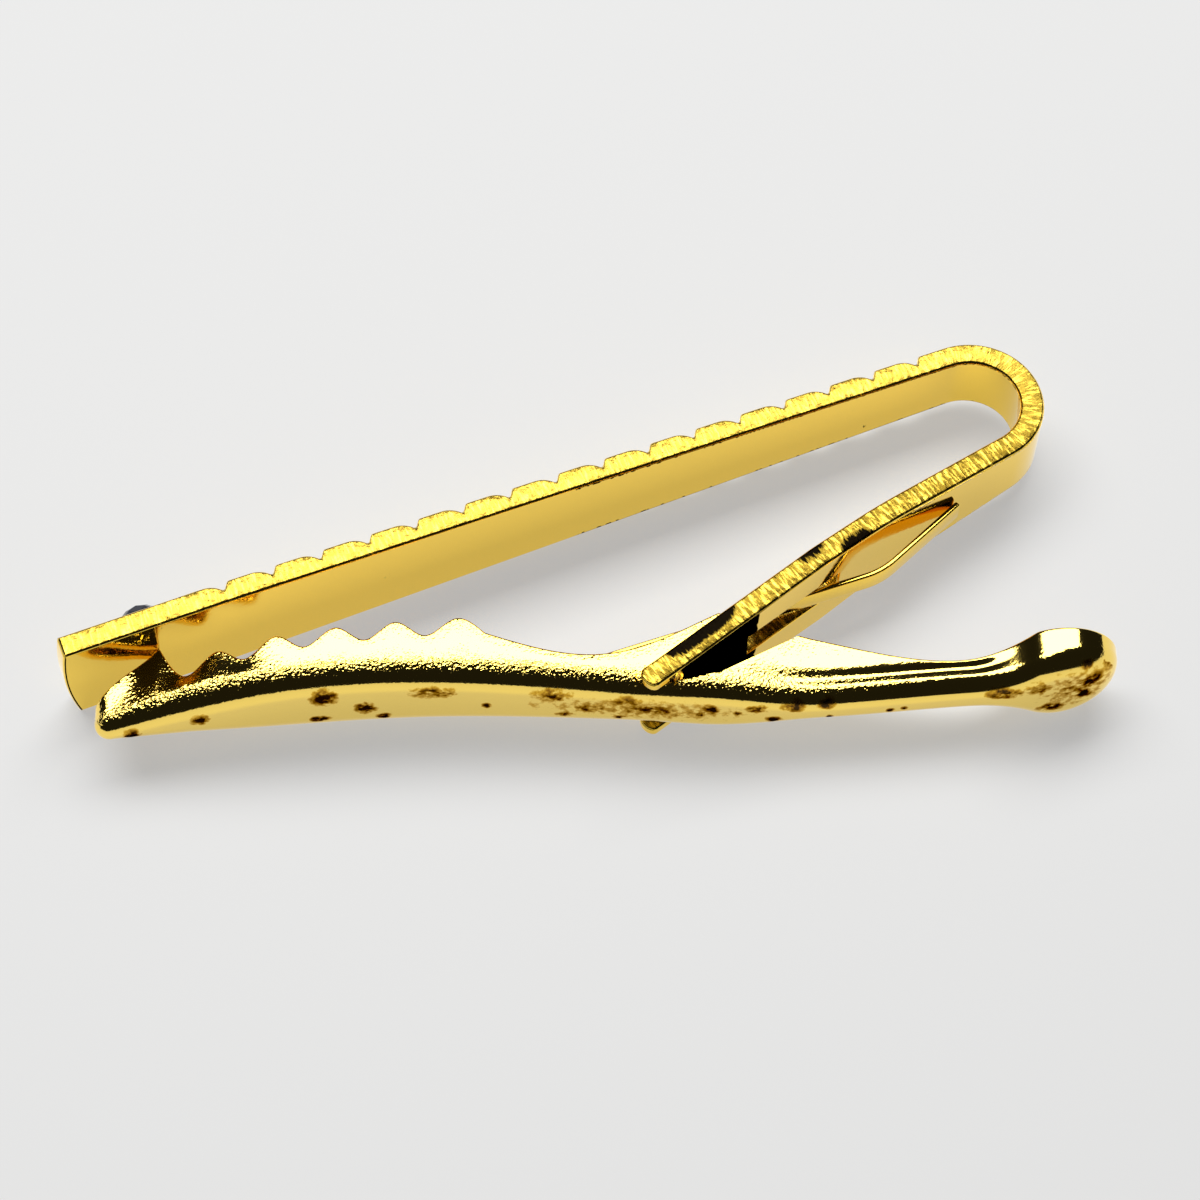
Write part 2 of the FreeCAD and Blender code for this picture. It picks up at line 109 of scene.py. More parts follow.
# Sizes of the lever in its own frame: pivot at the origin, jaw towards -X, open side towards +Y
LEVER_TURN = -20.8573
LEVER_GAUGE = 0.5
RIM_CROWN = 0.12
JAW_REACH = 25.05
JAW_HEIGHT = 1.1
JAW_SLOPE = 0.185
JAW_BOW_RADIUS = 110.0
FANG_RISE = 1.16
TOOTH_PITCH = 2.92
TOOTH_DEPTH = 0.85
TOOTH_COUNT = 6
NOSE_LENGTH = 3.05
NOSE_HALF = 0.9
NOSE_TOP = -1.15
BACK = [
    (-28.6, -2.5),
    (-20.5, -1.17),
    (-12.5, -0.62),
    (0, -1.35),
    (6, -1.6),
    (14.6, -1.05),
    (19.4, -0.68),
    (22.65, 0.05),
]
JAW_PLAN = [(-27.2, 0.9), (-20.5, 2.2), (-12.5, 2.42), (-1.6, 1.9)]
WAIST_RUN = 1.6
WAIST_HALF = 1.9
THROAT = (-3.4, 0.92)
HUMP = (2.5, 3.2)
RAMP = (8.1, 1.77)
NECK = (14.6, 0.76)
NECK_START = 7.5
NECK_HALF = 1.13
NECK_FILLET = 5.0
PAD_AT = 19.4
PAD_RADIUS = 2.75
PAD_RIM = 1.55
SEAT_GAP = 0.05
SIDE_GAP = 0.12
OPEN_ANGLE = 12.0
OPEN_SPARE = 2.0
NOTCH_FLOOR = 2.07
NOTCH_ROOM = 1.4

# Radius of the lever's pressed corner at places along it, and how the press left its walls
CORNER_AT = [-28.1, -23.5, -2.0, 5.0, 15.0, 18.5]
CORNER = [0.9, 1.3, 1.2, 0.95, 0.9, 1.1]
CORNER_LEAST = 0.15
WALL_LEAST = 0.02
LEAN = 0.55
LEAN_PEAK = (-27.2, -25.4, -25.0, -18.0)
DENT = 0.1
DENT_UP = 0.45
DENT_WIDTH = 0.3
DENT_RUN = (3.0, 8.0, 15.5, 17.0)

# How finely the lever is drawn: along its plan, across half of each skin, over its rims and in its notch
NOSE_STEPS = 25
BODY_STEPS = 399
FILLET_STEPS = 23
PAD_STEPS = 71
WALL_STEPS = 14
CORNER_STEPS = 16
WEB_STEPS = 8
INSIDE_STEPS = (8, 6, 5)
RIM_STEPS = 5
SEAT_STEPS = 39
SLOPE_STEP = 0.01
LEVER_MERGE = 0.002
SHARP_ANGLE = 35

# Pebbling of the lever's skin: on the web, inside, down a wall, round a corner in degrees, and along it
WEB_GRAIN = 0.08
INSIDE_GRAIN = 0.5
WALL_GRAIN = ([0, 0.5, 1], [0.8, 0.25, 0.7])
CORNER_GRAIN = ([0, 10, 28, 42], [1, 1.8, 1.8, WEB_GRAIN])
GRAIN_ALONG = ([2, 8, 14], [1, 0.6, 0.12])

# Sizes of the leaf spring, as in the solid but for a rounder knee, and how finely it is drawn
LEAF_GAUGE = 0.3
LEAF_WIDTH = 1.2
LEAF_GAP = 0.05
LEAF_TIP_RUN = 2.9
LEAF_KNEE_AT = 12.4
LEAF_KNEE_LIFT = 1.1
LEAF_KNEE_RADIUS = 4.0
LEAF_FOOT_AT = 7.5
LEAF_FOOT_LENGTH = 3.8
LEAF_FOOT_SAMPLES = 40
LEAF_SOFT = 0.1
LEAF_SOFT_STEPS = 4
LEAF_STEP = 0.25
LEAF_ARC_STEPS = 8
LEAF_END_ROUND = 0.05
LEAF_END_STEPS = 2
LEAF_END_ANGLE = 60

# Sizes of the stone and its collet, and how finely the collet is drawn
STONE_SIDES = 8
STONE_RADIUS = 1.6
STONE_TABLE = 0.75
STONE_STAR = 1.06
STONE_STAR_RISE = 0.68
STONE_CROWN = 0.95
STONE_GIRDLE = 0.15
STONE_PAVILION = 0.25
STONE_LIFT = 0.01
COLLET_FLOOR = 0.15
COLLET_BORE = 1.63
COLLET_RIM = 1.85
COLLET_HEIGHT = 0.5
COLLET_RIM_STEPS = 12
COLLET_STEPS = 96

# Points of the leaf and of the collet that are nearer to each other than this are joined
RING_MERGE = 0.001

MID_HEIGHT = PANEL_HALF
PIVOT = np.array(frame["joints"][0]["pos_m"][:2]) / MM

# Painted shade on the arm's cut edge, darkest by the pivot where the arm runs into the lever: place back
# from the pivot, half length, strength by lever and by bar
EDGE_SHADE = [(2.3, 2.6, 0.1, 1.3), (9.3, 1.1, 0.2, 0.9), (11.6, 1.3, 1.0, 0.2)]
# Painted shade on the arm's face inside the lever: where it starts, is full, fades and ends, back from the
# pivot
ARM_SHADE = (0.0, 0.6, 4.6, 5.4)
# Strength of the shear marks on the bar's cut edge, against 1 on the arm's
BAR_HATCHING = 0.7

# Camera: the photograph's view, 30 degrees off straight down
LOOK_AT = (21.68, -5.81, 2.8)
CAMERA_AT = (-6.31, -75.39, 132.7)
CAMERA_FIELD = 22.62
CAMERA_NEAR = 0.001
PHOTO_PIXELS = 1200

# Stains on the lever's back: pixel of the photograph at the middle, half length, half width and strength
STAINS = [
    (132.3, 735.6, 0.3, 0.3, 0.9),
    (200, 721.4, 0.3, 0.3, 1.0),
    (319.4, 720.9, 0.35, 0.2, 0.9),
    (324, 700.7, 0.45, 0.45, 1.0),
    (365.3, 709.9, 0.35, 0.35, 1.0),
    (383.7, 717.2, 0.25, 0.2, 0.9),
    (433.8, 693.8, 0.9, 0.4, 0.6),
    (486.6, 707.6, 0.18, 0.18, 0.8),
    (552, 698.4, 0.7, 0.4, 0.65),
    (564.6, 715.6, 0.35, 0.2, 0.65),
    (589.9, 709.9, 0.65, 0.35, 0.6),
    (619.7, 717.9, 0.3, 0.15, 0.6),
    (626.6, 703, 0.6, 0.3, 0.6),
    (649.6, 709.9, 0.7, 0.35, 0.65),
    (661, 711, 0.5, 0.4, 0.6),
    (700, 713.3, 0.2, 0.2, 0.85),
    (711.5, 708.7, 0.35, 0.35, 0.7),
    (736.8, 712.2, 0.15, 0.15, 0.8),
    (757.5, 708.7, 0.4, 0.25, 0.75),
    (773.5, 718.6, 0.3, 0.2, 0.9),
    (793.8, 708.6, 0.4, 0.25, 0.9),
    (827, 705.8, 0.3, 0.2, 0.85),
    (829.4, 715.5, 0.15, 0.15, 0.7),
    (890.2, 709.7, 0.15, 0.15, 0.9),
    (904, 707.4, 0.12, 0.12, 0.8),
    (1005, 693.7, 0.6, 0.3, 0.85),
    (1039.4, 688, 0.6, 0.5, 0.5),
    (1050.9, 706.3, 0.5, 0.25, 0.85),
    (1088.8, 668, 0.2, 0.2, 0.9),
    (1084.2, 692.5, 0.3, 0.3, 0.9),
    (1089.9, 679.9, 0.5, 0.6, 0.7),
    (1112.9, 666, 0.3, 0.6, 0.65),
]
STAIN_LEVELS = 551
# Faint hazes between the stains: place along the lever, place across it, half length, half width, strength
HAZES = [(-1.5, 0.1, 4.5, 0.8, 0.36), (20.0, 0.4, 1.6, 1.5, 0.38)]


def natural_spline(knots, x):
    """Cubic through the knots, with no bend at its ends, evaluated at every x at once."""
    kx, ky = np.array(knots, float).T
    step = np.diff(kx)
    matrix = np.eye(len(kx))
    right = np.zeros(len(kx))
    inner = np.arange(1, len(kx) - 1)
    matrix[inner, inner - 1] = step[:-1]
    matrix[inner, inner] = 2 * (step[:-1] + step[1:])
    matrix[inner, inner + 1] = step[1:]
    right[inner] = 6 * np.diff(np.diff(ky) / step)
    bend = np.linalg.solve(matrix, right)
    i = np.clip(np.searchsorted(kx, x) - 1, 0, len(kx) - 2)
    a, b, gap = kx[i + 1] - x, x - kx[i], step[i]
    cubic = (bend[i] * a ** 3 + bend[i + 1] * b ** 3) / (6 * gap)
    return cubic + (ky[i] / gap - bend[i] * gap / 6) * a + (ky[i + 1] / gap - bend[i + 1] * gap / 6) * b


def ease(x, start, end):
    """Smooth step from 0 at start to 1 at end."""
    t = np.clip((x - start) / (end - start), 0, 1)
    return t * t * (3 - 2 * t)


def plateau(x, start, full, fade, end):
    """Smooth rise from start to full, level to fade, and smooth fall to end."""
    return ease(x, start, full) * (1 - ease(x, fade, end))


def summed(values, step):
    """Running sum of a curve from 0: each step adds the mean of its two ends times its length."""
    return np.concatenate([[0], np.cumsum(values[1:] + values[:-1]) * step / 2])


def into_scene(name, data):
    """A new object for a mesh, lamp or camera, linked into the scene."""
    item = bpy.data.objects.new(name, data)
    bpy.context.scene.collection.objects.link(item)
    return item


def make_piece(name, points, faces, material, attributes=None, smooth=True):
    """One mesh object from points in millimetres and faces, with optional values per point."""
    mesh = bpy.data.meshes.new(name)
    mesh.from_pydata((np.asarray(points) * MM).tolist(), [], faces)
    for key, values in (attributes or {}).items():
        layer = mesh.attributes.new(key, "FLOAT", "POINT")
        layer.data.foreach_set("value", np.asarray(values, np.float32).ravel())
    mesh.polygons.foreach_set("use_smooth", np.full(len(mesh.polygons), smooth))
    mesh.materials.append(material)
    mesh.validate()
    return into_scene(name, mesh)


def merge_doubles(piece, distance):
    """Joins points closer than a distance in millimetres."""
    work = bmesh.new()
    work.from_mesh(piece.data)
    bmesh.ops.remove_doubles(work, verts=work.verts, dist=distance * MM)
    bmesh.ops.dissolve_degenerate(work, edges=work.edges, dist=distance * MM / 10)
    work.to_mesh(piece.data)
    work.free()


def grid_faces(index):
    """Four-sided faces between neighbours of a two-way table of point numbers."""
    return np.stack([index[:-1, :-1], index[1:, :-1], index[1:, 1:], index[:-1, 1:]], -1).reshape(-1, 4)


def ring_faces(points):
    """Four-sided faces between rows of points, each row closed into a ring."""
    rows, count = points.shape[:2]
    index = np.arange(rows * count).reshape(rows, count)
    return grid_faces(np.hstack([index, index[:, :1]])).tolist()


def round_edges(piece, width, angle, segments):
    """Rounds every edge sharper than an angle."""
    bevel = piece.modifiers.new("rounded_edges", "BEVEL")
    bevel.width = width * MM
    bevel.segments = segments
    bevel.limit_method = "ANGLE"
    bevel.angle_limit = math.radians(angle)
    bevel.use_clamp_overlap = False
    bevel.harden_normals = True


# Strip

STRIP_LEGS = [
    0,
    PANEL_REACH + BAR_RUN,
    (BEND_RADIUS + HALF_GAUGE) * math.radians(180 - ARM_SPLAY),
    ARM_FIRST_RUN,
    ARM_SWEEP_RADIUS * math.radians(ARM_SWEEP),
    ARM_LAST_RUN + PRONG_REACH,
]
STRIP_KNOTS = np.cumsum(STRIP_LEGS)
PIVOT_RUN = STRIP_KNOTS[-1] - PRONG_REACH
PRONG_TIP = PIVOT_RUN + PRONG_REACH - PRONG_CROWN
STRIP_MARKS = [PIVOT_RUN - SLOT_END, PIVOT_RUN - SLOT_START, PIVOT_RUN, PRONG_TIP]


def strip_line(run):
    """Place and heading of the strip's middle line at each run from the bar's free end.

    The heading turns steadily along the bend and along the arm's sweep, and the place is the heading's
    cosine and sine summed up.
    """
    arm = ARM_SPLAY - 180
    turns = np.radians([0, 0, arm, arm, arm + ARM_SWEEP, arm + ARM_SWEEP])
    fine = np.linspace(0, STRIP_KNOTS[-1], LINE_SAMPLES)
    heading = np.interp(fine, STRIP_KNOTS, turns)
    x = summed(np.cos(heading), fine[1]) - PANEL_REACH
    y = summed(np.sin(heading), fine[1])
    return np.interp(run, fine, x), np.interp(run, fine, y), np.interp(run, fine, heading)


def beside_strip(run, offset, height):
    """Points so far in front of the strip's middle line and so far above its middle plane."""
    x, y, heading = strip_line(run)
    place = [x - np.sin(heading) * offset, y + np.cos(heading) * offset, MID_HEIGHT + height]
    return np.stack(np.broadcast_arrays(*place), -1)


def front_height(run):
    """Height of the front face over the middle line.

    Each scallop runs level, falls along an arc and rises steeply. The steps are softened by averaging over
    a bell curve, as pressing leaves them.
    """
    fine = np.arange(0, STRIP_KNOTS[1] + SCALLOP_PITCH, SCALLOP_SAMPLE)
    number = np.floor((fine - PANEL_LENGTH) / SCALLOP_PITCH)
    along = fine - PANEL_LENGTH - number * SCALLOP_PITCH
    rising = (number >= 0) & (number <= SCALLOP_COUNT)
    rise = np.where(rising, SCALLOP_DEPTH * np.clip(1 - along / SCALLOP_RISE, 0, 1), 0)
    radius = (SCALLOP_FALL ** 2 + SCALLOP_DEPTH ** 2) / (2 * SCALLOP_DEPTH)
    past = np.clip(along - SCALLOP_PITCH + SCALLOP_FALL, 0, SCALLOP_FALL)
    falling = (number >= -1) & (number < SCALLOP_COUNT)
    fall = np.where(falling, radius - np.sqrt(radius ** 2 - past ** 2), 0)
    bell = np.exp(-(np.arange(-SOFTENING_REACH, SOFTENING_REACH + 1) / SOFTENING_SAMPLES) ** 2)
    drop = np.convolve(np.maximum(rise, fall), bell / bell.sum(), "same")
    return HALF_GAUGE - np.interp(run, fine, drop, right=0)


def strip_columns():
    """Run of each column of the grid: even steps, finer along the bar, that make way for the marks."""
    bar = np.arange(0, STRIP_KNOTS[1], BAR_STEP)
    arm = np.arange(STRIP_KNOTS[1], PRONG_TIP, ARM_STEP)
    runs = np.unique(np.round(np.concatenate([bar, arm, STRIP_MARKS]), RUN_DIGITS))
    near_mark = np.min(np.abs(runs[:, None] - np.array(STRIP_MARKS)), 1)
    return runs[(near_mark < SAME_RUN) | (near_mark > MARK_CLEARANCE)]


def strip_half(runs):
    """Half width of the strip at each run: broad panel, tapered bar, slim bend, flared arm and fork."""
    fork = WAIST_HALF + SIDE_GAP + PRONG_WIDTH
    at = [0, PANEL_LENGTH, STRIP_KNOTS[1], STRIP_KNOTS[2], PIVOT_RUN - ARM_FLARE_AT, PIVOT_RUN, PRONG_TIP]
    return np.interp(runs, at, [PANEL_HALF, PANEL_HALF, BEND_HALF, BEND_HALF, ARM_HALF, fork, fork])


def strip_rows(half):
    """Place of each row at every column, as a share of the half width, from the lower rim to the upper.

    The slot's wall lies SLOT_ROWS out from the middle row, and the fork's FORK_ROWS.
    """
    fork = np.minimum((WAIST_HALF + SIDE_GAP) / half, FORK_SHARE_MOST)
    slot = np.minimum(SLOT_HALF / half, SLOT_SHARE_MOST)
    middle = np.zeros_like(half)
    rim = middle + RIM_SHARE
    upper = [middle, slot / 2, slot, (slot + fork) / 2, fork, (fork + rim) / 2, rim, middle + 1]
    return np.stack([-row for row in upper[:0:-1]] + upper, 1)


def strip_cells(runs, rows):
    """Which cells of the grid hold metal: all but the spring's slot and the gap between the prongs."""
    middle = rows // 2
    cell_run = (runs[:-1] + runs[1:]) / 2
    present = np.ones((len(cell_run), rows - 1), bool)
    in_slot = (cell_run > STRIP_MARKS[0]) & (cell_run < STRIP_MARKS[1])
    present[np.ix_(in_slot, np.arange(middle - SLOT_ROWS, middle + SLOT_ROWS))] = False
    present[np.ix_(cell_run > PIVOT_RUN, np.arange(middle - FORK_ROWS, middle + FORK_ROWS))] = False
    return present


def strip_walls(present, capped, outer, inner):
    """Faces between the two sides along the rims of the present cells, but for the capped rims."""
    padded = np.pad(present, 1).astype(int)
    along = padded[1:-1, 1:] - padded[1:-1, :-1]
    across = padded[1:, 1:-1] - padded[:-1, 1:-1]
    across[capped] = 0
    walls = []
    for sign in (1, -1):
        i, j = np.nonzero(along == sign)
        wall = np.stack([outer[i, j], outer[i + 1, j], inner[i + 1, j], inner[i, j]], 1)
        walls.append(wall[:, ::sign])
        i, j = np.nonzero(across == sign)
        wall = np.stack([outer[i, j], outer[i, j + 1], inner[i, j + 1], inner[i, j]], 1)
        walls.append(wall[:, ::-sign])
    return walls


def strip_end(run, heights, reach):
    """Points, runs and offsets of an end that bulges by a reach past a run, half round over the gauge."""
    turn = np.linspace(0, math.pi, END_STEPS + 1)[1:-1, None]
    place = np.broadcast_arrays(run + reach * np.sin(turn), HALF_GAUGE * np.cos(turn), heights)
    return beside_strip(*place).reshape(-1, 3), place[0].ravel(), place[1].ravel()


def painted_edge_shade(run, offset):
    """How much painted shade lies on the arm's cut edge at each run, on the side by the lever and on the
    side by the bar.
    """
    edge_shade = np.zeros_like(run)
    for back, half, by_lever, by_bar in EDGE_SHADE:
        away = np.abs(PIVOT_RUN - back - run) / half
        edge_shade = np.maximum(edge_shade, np.where(offset > 0, by_lever, by_bar) * np.clip(1 - away ** 4, 0, 1))
    return edge_shade


def strip_values(run, offset):
    """What the strip's material reads at each point: its place, its painted shade on the cut edge and on
    the arm's face in the lever, and how hatched it is.
    """
    edge_shade = painted_edge_shade(run, offset)
    arm_shade = (offset > 0) * plateau(PIVOT_RUN - run, *ARM_SHADE)
    hatched = np.interp(run, STRIP_KNOTS[1:3], [BAR_HATCHING, 1])
    return {"run": run, "offset": offset, "edge_shade": edge_shade, "arm_shade": arm_shade, "hatched": hatched}


def make_strip(material):
    """The bent strip: a grid over its run and width, lifted to both faces and walled at its rims.

    The tongue between the prongs ends in a half round, and the prongs in flatter half ellipses.
    """
    runs = strip_columns()
    half = strip_half(runs)
    share = strip_rows(half)
    columns, rows = share.shape
    run = runs[:, None] + END_BOW * share ** 2 * np.clip(1 - runs / END_BOW_RUN, 0, 1)[:, None]
    height = half[:, None] * share
    front = beside_strip(run, front_height(run), height)
    back = beside_strip(run, -HALF_GAUGE, height)
    points = [front.reshape(-1, 3), back.reshape(-1, 3)]
    run_of = [run.ravel(), run.ravel()]
    offset_of = [np.full(run.size, HALF_GAUGE), np.full(run.size, -HALF_GAUGE)]

    outer = np.arange(columns * rows).reshape(columns, rows)
    inner = outer + columns * rows
    tongue = int(np.argmin(np.abs(runs - PIVOT_RUN)))
    fork_low, fork_high = rows // 2 - FORK_ROWS, rows // 2 + FORK_ROWS
    capped = np.zeros((columns, rows - 1), bool)
    capped[tongue, fork_low:fork_high] = True
    capped[-1] = True
    present = strip_cells(runs, rows)
    keep = present.ravel()
    faces = [grid_faces(outer)[keep][:, ::-1], grid_faces(inner)[keep]]
    faces += strip_walls(present, capped, outer, inner)

    count = 2 * columns * rows
    prong_sides = []
    caps = [
        (tongue, fork_low, fork_high, HALF_GAUGE),
        (columns - 1, 0, fork_low, PRONG_CROWN),
        (columns - 1, fork_high, rows - 1, PRONG_CROWN),
    ]
    for column, low, high, reach in caps:
        picks = np.arange(low, high + 1)
        cap, cap_run, cap_offset = strip_end(runs[column], height[column, picks], reach)
        points.append(cap)
        run_of.append(cap_run)
        offset_of.append(cap_offset)
        index = count + np.arange(len(cap)).reshape(-1, len(picks))
        count += len(cap)
        index = np.vstack([outer[column, picks], index, inner[column, picks]])
        faces.append(grid_faces(index)[:, ::-1])
        if column > tongue:
            prong_sides += [index[:, 0], index[::-1, -1]]

    faces = np.vstack(faces)
    used = np.unique(faces)
    renumber = np.full(count, -1)
    renumber[used] = np.arange(len(used))
    faces = renumber[faces].tolist() + [renumber[side].tolist() for side in prong_sides]
    values = strip_values(np.concatenate(run_of)[used], np.concatenate(offset_of)[used])
    piece = make_piece("polished_strip", np.vstack(points)[used], faces, material, values)
    round_edges(piece, CUT_ROUND, CUT_ANGLE, CUT_ROUND_STEPS)
    return piece


# Lever

NOSE_AXIS = NOSE_HALF - JAW_REACH - NOSE_LENGTH
FILLET_UP = NECK_HALF + NECK_FILLET
FILLET_AT = PAD_AT - math.sqrt((PAD_RADIUS + NECK_FILLET) ** 2 - FILLET_UP ** 2)


def lever_back(x):
    """Level of the lever's back: bowed from nose to pivot, dipped behind it and rising to the pad."""
    return natural_spline(BACK, x)


def lever_top(x):
    """Level of the walls' rim: nose, fang, wave of teeth, throat, hump at the pivot, neck and pad."""
    number = np.arange(2 * TOOTH_COUNT)
    run = number * TOOTH_PITCH / 2
    level = JAW_HEIGHT + JAW_SLOPE * run - run ** 2 / (2 * JAW_BOW_RADIUS) - TOOTH_DEPTH * (number % 2)
    level[0] += FANG_RISE
    teeth = np.column_stack([run - JAW_REACH, level])
    rim_start = (PAD_AT - PAD_RADIUS / 2, PAD_RIM)
    nose = np.interp(x, [BACK[0][0], -JAW_REACH], [NOSE_TOP, level[0]])
    jaw = natural_spline(teeth, x)
    throat = natural_spline([teeth[-1], THROAT, HUMP], x)
    neck = natural_spline([HUMP, RAMP, NECK, rim_start], x)
    where = [x < -JAW_REACH, x < teeth[-1, 0], x < HUMP[0], x < rim_start[0]]
    return np.select(where, [nose, jaw, throat, neck], PAD_RIM) - RIM_CROWN


def body_half(x):
    """Half width between the nose's round and the pad's fillet: broad jaw, straight waist, slim neck."""
    slim = WAIST_HALF + (NECK_HALF - WAIST_HALF) * ease(x, WAIST_RUN, NECK_START)
    return np.where(x < -WAIST_RUN, natural_spline(JAW_PLAN, x), slim)


def lever_plan(inset):
    """Place along the lever and half width of each row, from the nose to the pad, drawn in by an inset."""
    turn = np.linspace(0, math.pi / 2, NOSE_STEPS + 1)[:-1]
    radius = NOSE_HALF - inset
    nose = np.stack([NOSE_AXIS - radius * np.cos(turn), radius * np.sin(turn)], 1)
    x = np.linspace(NOSE_AXIS, FILLET_AT, BODY_STEPS + 1)
    body = np.stack([x, body_half(x) - inset], 1)
    meet = math.atan2(FILLET_UP, PAD_AT - FILLET_AT)
    fillet = NECK_FILLET + inset
    turn = np.linspace(0, math.pi / 2 - meet, FILLET_STEPS + 1)[1:]
    bend = np.stack([FILLET_AT + fillet * np.sin(turn), FILLET_UP - fillet * np.cos(turn)], 1)
    pad_radius = PAD_RADIUS - inset
    turn = np.linspace(math.pi - meet, 0, PAD_STEPS + 1)[1:]
    pad = np.stack([PAD_AT + pad_radius * np.cos(turn), pad_radius * np.sin(turn)], 1)
    return np.vstack([nose, body, bend, pad])


def in_from_edge(x, z):
    """Distance of each point in from the edge of the lever's plan, by the piece of edge nearest to it."""
    nose = NOSE_HALF - np.hypot(x - NOSE_AXIS, z)
    slope = (body_half(x + SLOPE_STEP) - body_half(x - SLOPE_STEP)) / (2 * SLOPE_STEP)
    body = (body_half(x) - z) / np.sqrt(1 + slope ** 2)
    fillet = np.hypot(x - FILLET_AT, z - FILLET_UP) - NECK_FILLET
    pad = PAD_RADIUS - np.hypot(x - PAD_AT, z)
    before_pad = (PAD_AT - FILLET_AT) * (z - FILLET_UP) + FILLET_UP * (x - FILLET_AT) < 0
    return np.select([x < NOSE_AXIS, x < FILLET_AT, before_pad], [nose, body, fillet], pad)


def lever_skin(inset, wall_steps, corner_steps, web_steps):
    """One skin of the channel, drawn in by an inset: each row runs down a wall, over the back and up again.

    Near the plan's edge the back rises along a quarter circle: level + r - sqrt(r^2 - (r - d)^2), where d
    is the distance in from the edge. The walls lean in over the first teeth and are dented along the neck.
    """
    x, half = (column[:, None] for column in lever_plan(inset).T)
    half = np.maximum(half, 0)
    back = lever_back(x) + inset
    corner = np.maximum(np.interp(x, CORNER_AT, CORNER) - inset, CORNER_LEAST)
    foot = back + corner
    top = np.maximum(lever_top(x), foot + WALL_LEAST)
    up = np.linspace(1, 0, wall_steps + 1)[None, :-1]
    wall_y = foot + (top - foot) * up
    dent = DENT * plateau(x, *DENT_RUN) * np.exp(-((wall_y - foot - DENT_UP) / DENT_WIDTH) ** 2)
    wall_z = half - LEAN * plateau(x, *LEAN_PEAK) * up - dent
    reach = np.minimum(corner, half)
    turn = np.linspace(0, math.pi / 2, corner_steps + 1)[None, :]
    flat = np.linspace(1, 0, web_steps + 1)[None, 1:]
    web_z = np.concatenate([half - reach * (1 - np.cos(turn)), (half - reach) * flat], 1)
    short = corner - np.clip(in_from_edge(x + 0 * web_z, web_z) - inset, 0, corner)
    web_y = foot - np.sqrt(corner ** 2 - short ** 2)
    one_side = np.stack([np.concatenate([wall_y, web_y], 1), np.concatenate([wall_z, web_z], 1)], -1)
    other = one_side[:, -2::-1] * np.array([1, -1])
    section = np.concatenate([one_side, other], 1)
    return np.concatenate([np.broadcast_to(x[..., None], (*section.shape[:2], 1)), section], -1)


def place_lever(points):
    """From the lever's own frame to the strip's frame."""
    turn = math.radians(LEVER_TURN)
    x = PIVOT[0] + points[..., 0] * math.cos(turn) - points[..., 1] * math.sin(turn)
    y = PIVOT[1] + points[..., 0] * math.sin(turn) + points[..., 1] * math.cos(turn)
    return np.stack([x, y, points[..., 2] + MID_HEIGHT], -1)


def polar(radius, degrees):
    """Points at a distance and in directions from the lever's pivot."""
    angle = np.radians(degrees)
    return radius * np.stack([np.cos(angle), np.sin(angle)], -1)


def notch_cutter():
    """A prism through both walls where the arm comes in: round at the pivot, open over the swing."""
    shut = ARM_SPLAY + ARM_SWEEP - LEVER_TURN
    swung = shut - OPEN_ANGLE - OPEN_SPARE
    middle = (shut + swung) / 2
    seat = polar(HALF_GAUGE + SEAT_GAP, np.linspace(shut + 90, swung + 270, SEAT_STEPS + 1))
    corner = polar(NOTCH_FLOOR, middle) + polar(NOTCH_ROOM, middle - 90)
    reach = 4 * HUMP[1]
    ring = np.vstack([seat, corner, corner + polar(reach, middle), seat[0] + polar(reach, shut)])
    count = len(ring)
    deep = 2 * PANEL_HALF
    points = np.vstack([np.column_stack([ring, np.full(count, level)]) for level in (-deep, deep)])
    index = np.arange(count)
    follow = np.roll(index, -1)
    sides = np.stack([index, follow, follow + count, index + count], 1).tolist()
    faces = sides + [index[::-1].tolist(), (index + count).tolist()]
    return make_piece("notch_cutter", place_lever(points), faces, bpy.data.materials.new("cutter"))


def cut_away(piece, cutter):
    """Takes the cutter's space out of a piece, for good, and leaves the cut's edges sharp."""
    boolean = piece.modifiers.new("cut", "BOOLEAN")
    boolean.operation = "DIFFERENCE"
    boolean.solver = "EXACT"
    boolean.object = cutter
    shown = piece.evaluated_get(bpy.context.evaluated_depsgraph_get())
    mesh = bpy.data.meshes.new_from_object(shown)
    piece.modifiers.clear()
    material = piece.data.materials[0]
    piece.data = mesh
    mesh.materials.clear()
    mesh.materials.append(material)
    mesh.set_sharp_from_angle(angle=math.radians(SHARP_ANGLE))
    bpy.data.objects.remove(cutter)


def stain_place(across, down):
    """Place along and across the lever's back that the photograph shows at a pixel.

    The pixel's ray from the camera is cut at many levels across the lever. The place is the cut nearest to
    the back, which is taken as straight between its knots.
    """
    ahead = np.subtract(LOOK_AT, CAMERA_AT)
    ahead = ahead / np.linalg.norm(ahead)
    right = np.cross(ahead, (0, 0, 1))
    right = right / np.linalg.norm(right)
    above = np.cross(right, ahead)
    middle = PHOTO_PIXELS / 2
    focus = middle / math.tan(math.radians(CAMERA_FIELD / 2))
    ray = ahead * focus + right * (across - middle) - above * (down - middle)
    z = np.linspace(-PAD_RADIUS, PAD_RADIUS, STAIN_LEVELS)
    far = (MID_HEIGHT + z - CAMERA_AT[2]) / ray[2]
    from_pivot = [CAMERA_AT[k] + ray[k] * far - PIVOT[k] for k in (0, 1)]
    turn = math.radians(LEVER_TURN)
    x = from_pivot[0] * math.cos(turn) + from_pivot[1] * math.sin(turn)
    y = from_pivot[1] * math.cos(turn) - from_pivot[0] * math.sin(turn)
    nearest = np.argmin(np.abs(y - np.interp(x, *np.transpose(BACK))))
    return x[nearest], z[nearest]


